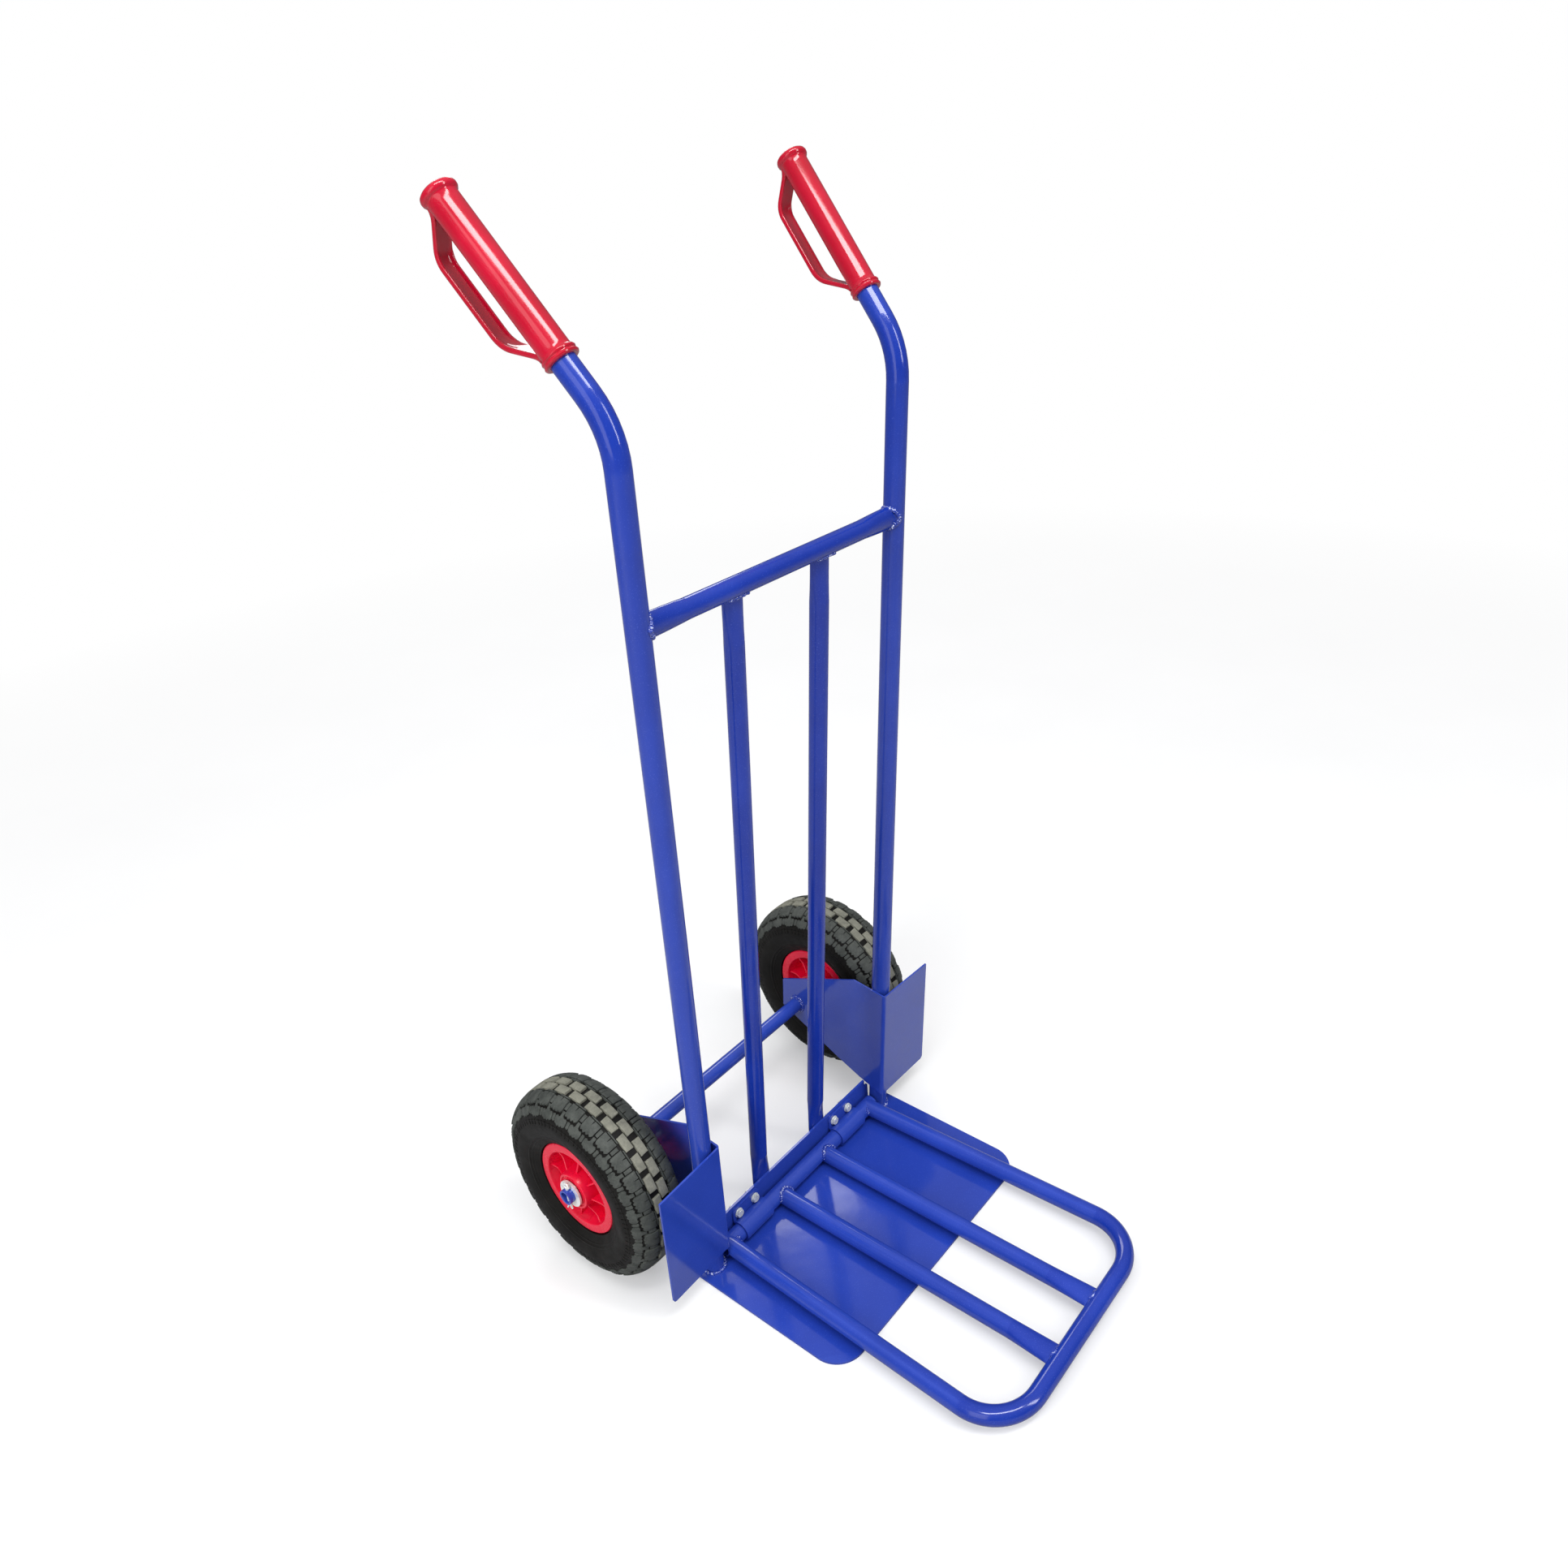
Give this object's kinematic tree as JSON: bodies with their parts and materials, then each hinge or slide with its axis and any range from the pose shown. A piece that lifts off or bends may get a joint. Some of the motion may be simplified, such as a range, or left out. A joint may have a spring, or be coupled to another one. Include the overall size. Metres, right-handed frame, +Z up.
{
  "type": "two-wheeled sack truck",
  "caption": "Upright tubular hand truck with splayed bent handles, D-shaped hand guards, a steel toe plate, a fold-out tubular toe extension and pneumatic tyres on an axle.",
  "frame": {"origin": "on the floor, in the middle plane, midway between the feet of the two uprights", "axes": "+Z up, -Y toward the load (the toe plate), +Y toward the wheels and the operator, +X to the right-hand wheel, facing the load"},
  "size_m": [0.559, 0.6875, 1.2714],
  "materials": {
    "blue_paint": "gloss powder coat",
    "red_plastic": "gloss moulded plastic",
    "tyre_rubber": "matt moulded rubber",
    "butyl": "smooth rubber",
    "zinc": "zinc plate"
  },
  "bodies": {
    "frame": {"axle": "blue_paint", "axle_spacer_left": "zinc", "axle_spacer_right": "zinc", "back_tube_left": "blue_paint", "back_tube_right": "blue_paint", "crossbar": "blue_paint", "grip_left": "red_plastic", "grip_right": "red_plastic", "hinge_strap_left": "blue_paint", "hinge_strap_right": "blue_paint", "inner_washer_left": "zinc", "inner_washer_right": "zinc", "outer_washer_left": "zinc", "outer_washer_right": "zinc", "split_pin_left": "zinc", "split_pin_right": "zinc", "strap_bolts": "zinc", "strap_nuts": "zinc", "strap_washers": "zinc", "toe_plate": "blue_paint", "upright_left": "blue_paint", "upright_right": "blue_paint", "wheel_guard_left": "blue_paint", "wheel_guard_right": "blue_paint"},
    "wheel_left": {"hub_sleeve_left": "zinc", "inner_tube_left": "butyl", "rim_inner_half_left": "red_plastic", "rim_outer_half_left": "red_plastic", "tyre_left": "tyre_rubber", "valve_stem_left": "butyl"},
    "wheel_right": {"hub_sleeve_right": "zinc", "inner_tube_right": "butyl", "rim_inner_half_right": "red_plastic", "rim_outer_half_right": "red_plastic", "tyre_right": "tyre_rubber", "valve_stem_right": "butyl"},
    "toe_extension": {"ext_hinge_tube": "blue_paint", "ext_inner_tube_left": "blue_paint", "ext_inner_tube_right": "blue_paint", "ext_loop_tube": "blue_paint"}
  },
  "joints": [
    {"name": "wheel_left_spin", "type": "hinge", "parent": "frame", "child": "wheel_left", "pos_m": [-0.2313, 0.1295, 0.13], "axis": [1, 0, 0], "continuous": true},
    {"name": "wheel_right_spin", "type": "hinge", "parent": "frame", "child": "wheel_right", "pos_m": [0.2313, 0.1295, 0.13], "axis": [1, 0, 0], "continuous": true},
    {"name": "toe_extension_fold", "type": "hinge", "parent": "frame", "child": "toe_extension", "pos_m": [0, -0.0015, 0.0165], "axis": [-1, 0, 0], "range_deg": [0, 84]}
  ]
}
